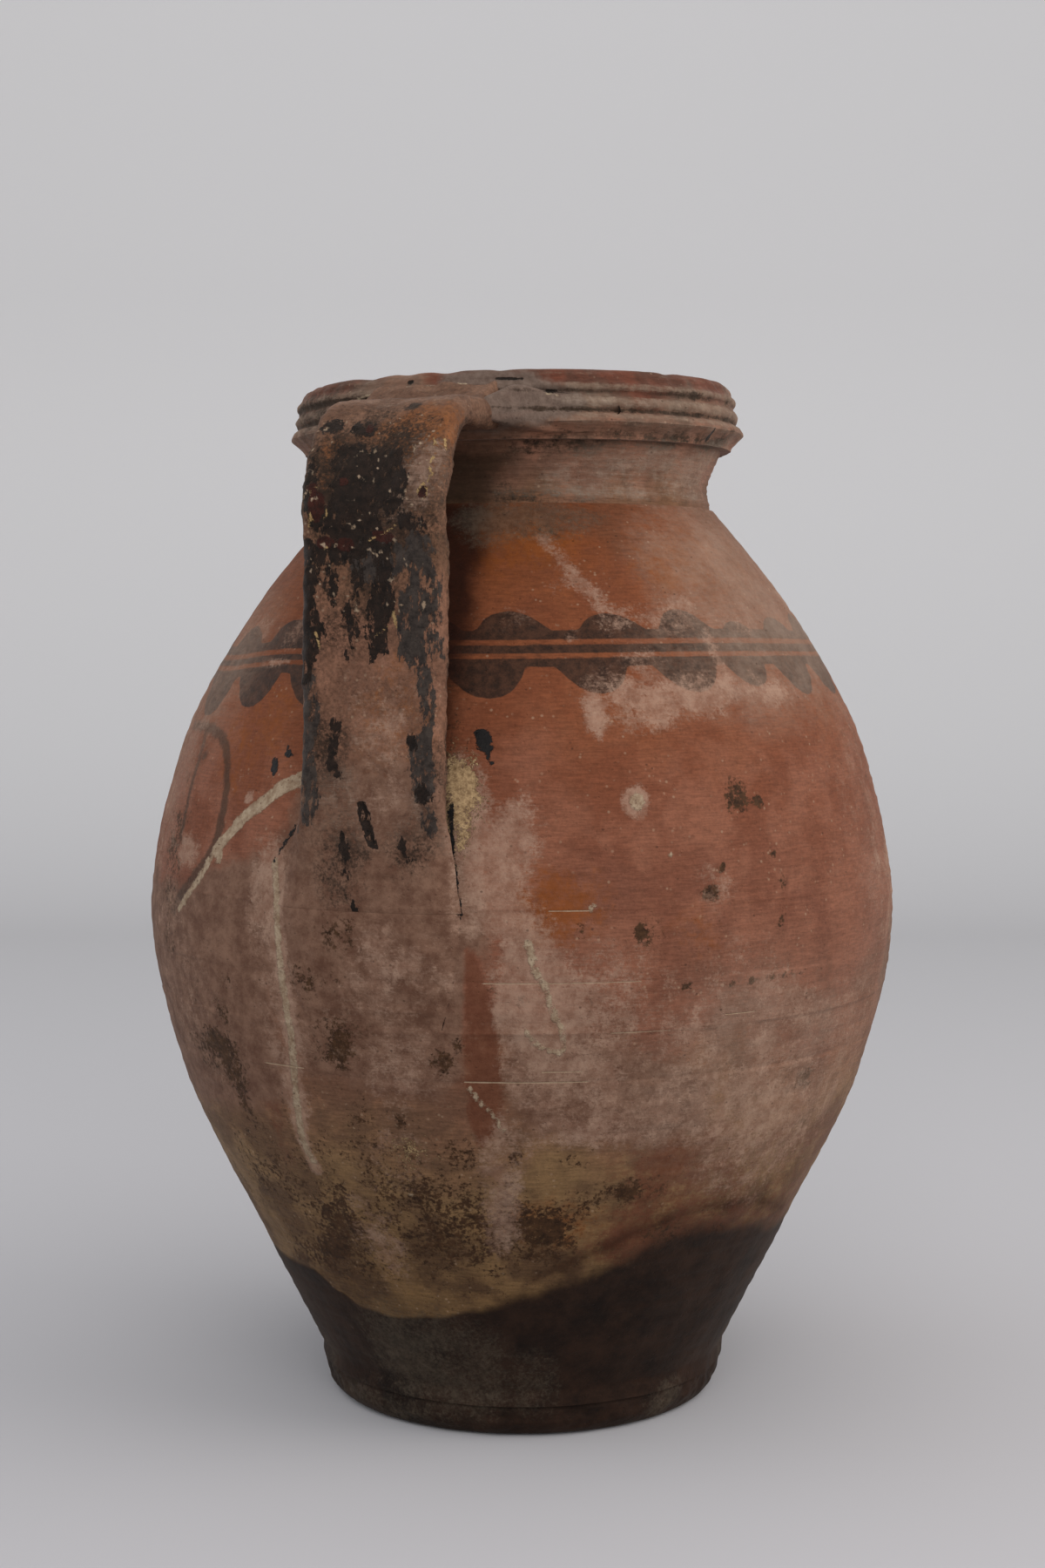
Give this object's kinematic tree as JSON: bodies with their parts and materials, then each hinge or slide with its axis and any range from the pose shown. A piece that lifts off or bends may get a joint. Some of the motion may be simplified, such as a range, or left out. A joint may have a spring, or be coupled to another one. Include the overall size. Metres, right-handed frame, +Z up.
{
  "type": "olive jar",
  "caption": "Tall unglazed earthenware storage jar with a beaded rim, wide strap handles from rim to belly and a painted wave band on the shoulder.",
  "frame": {"origin": "centre of the flat underside, on the jar's axis", "axes": "+Z up the jar's axis towards the mouth; the front handle lies towards -Y and the back handle towards +Y"},
  "size_m": [0.3559, 0.3658, 0.48],
  "materials": {
    "dipped_base": "matt",
    "mottled_wall": "matt",
    "painted_shoulder": "matt",
    "neck_clay": "matt",
    "rim_clay": "matt",
    "sooted_strap": "satin",
    "wad_clay": "matt"
  },
  "bodies": {
    "root": {"base_disc": "dipped_base", "lower_body": "mottled_wall", "upper_body": "painted_shoulder", "neck": "neck_clay", "rim_collar": "rim_clay", "front_strap": "sooted_strap", "back_strap": "sooted_strap", "front_root_wad": "wad_clay", "back_root_wad": "wad_clay", "front_foot_pad": "wad_clay", "back_foot_pad": "wad_clay"}
  },
  "joints": []
}
